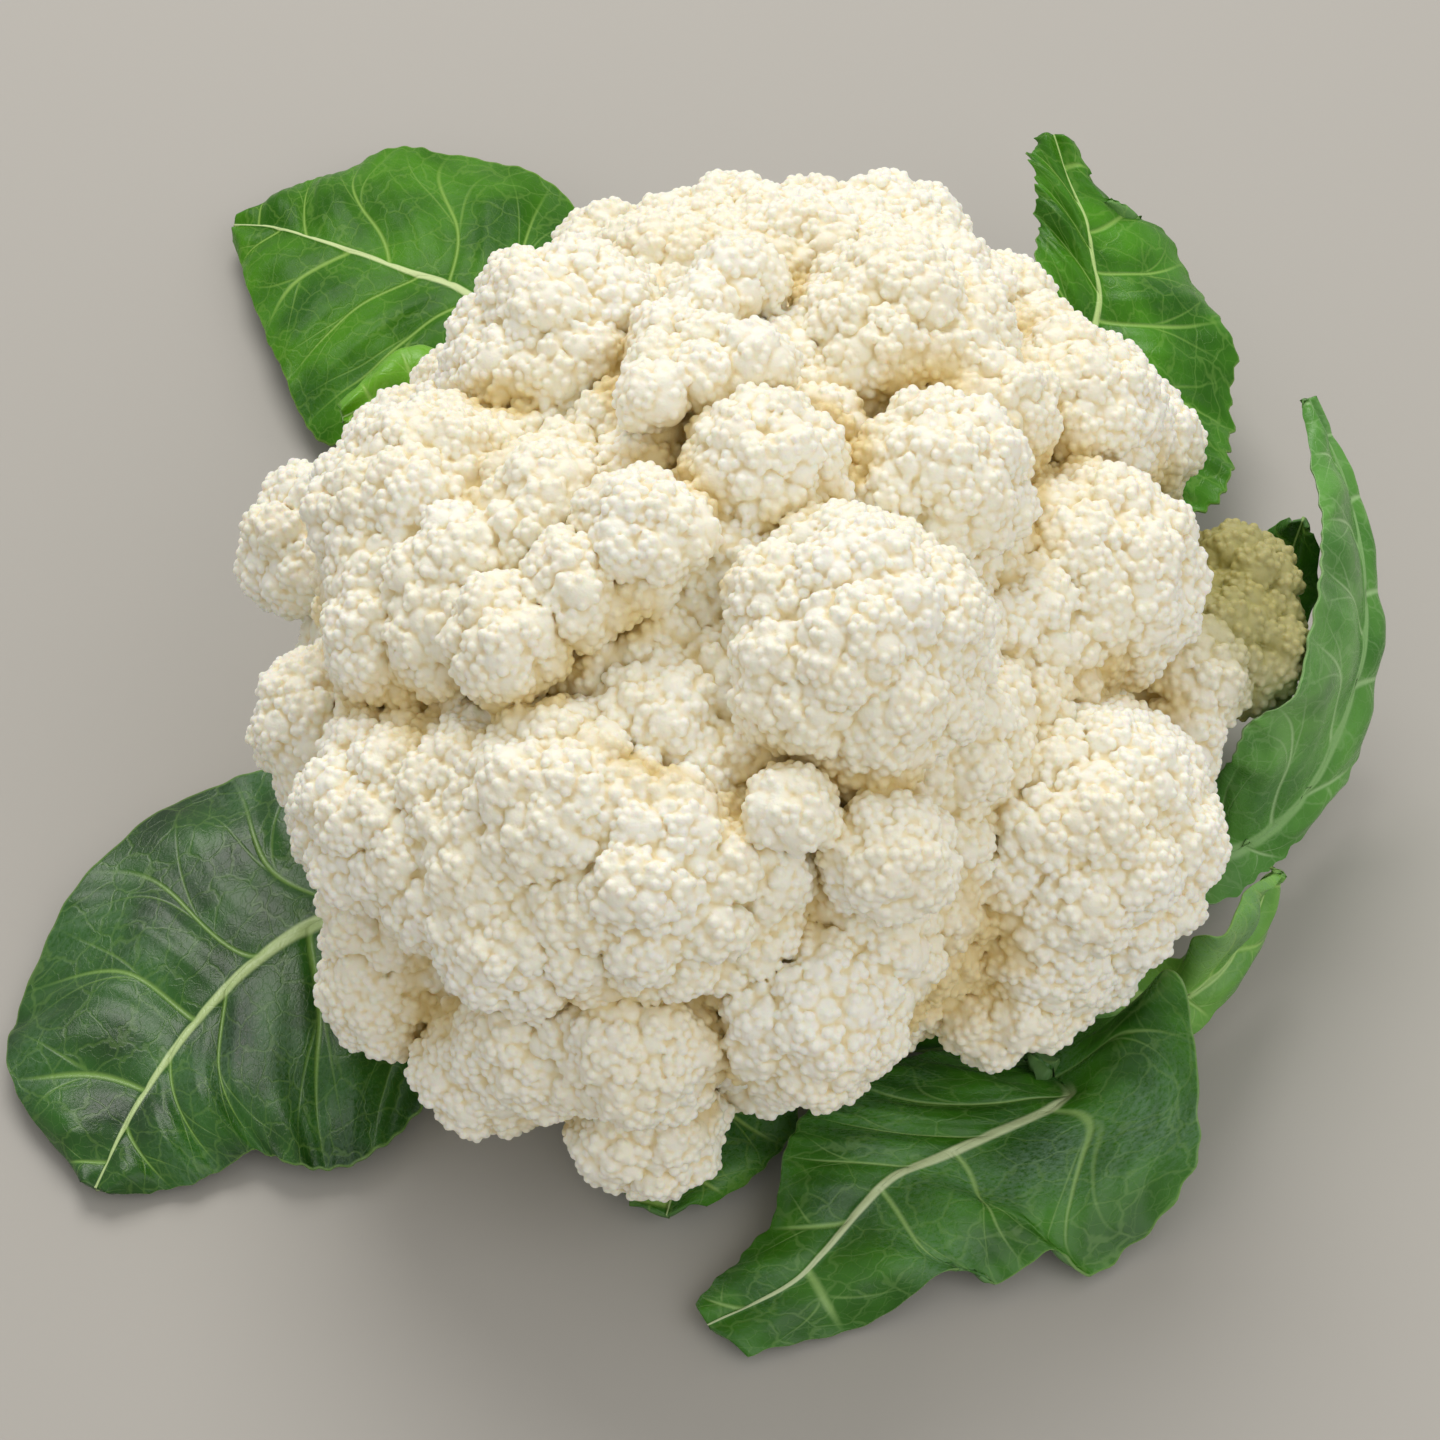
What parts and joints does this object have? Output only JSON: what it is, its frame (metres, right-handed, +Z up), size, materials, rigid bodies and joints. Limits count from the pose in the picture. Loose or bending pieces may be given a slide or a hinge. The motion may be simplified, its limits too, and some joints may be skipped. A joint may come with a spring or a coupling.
{
  "type": "cauliflower",
  "caption": "Whole head of cauliflower with trimmed green leaves round it, lying on its cut stem.",
  "frame": {"origin": "centre of the stem's cut face, on the surface that it rests on", "axes": "+Z up, out of the crown; the head is seen from -Y; +X to the right"},
  "size_m": [0.2457, 0.2895, 0.1269],
  "materials": {
    "curd": "matt, finely beaded",
    "stem": "matt, freshly cut",
    "leaf_dark": "waxy, veined",
    "leaf_light": "waxy, veined",
    "leaf_pale": "waxy, with a pale bloom"
  },
  "bodies": {
    "root": {"curd": "curd", "stem": "stem", "leaf_back_left": "leaf_dark", "leaf_back_left_small": "leaf_light", "leaf_front_left": "leaf_dark", "leaf_back_right": "leaf_dark", "leaf_right": "leaf_pale", "leaf_right_small": "leaf_dark", "leaf_right_lower": "leaf_pale", "leaf_front_right": "leaf_dark", "leaf_front_under": "leaf_dark"}
  },
  "joints": []
}
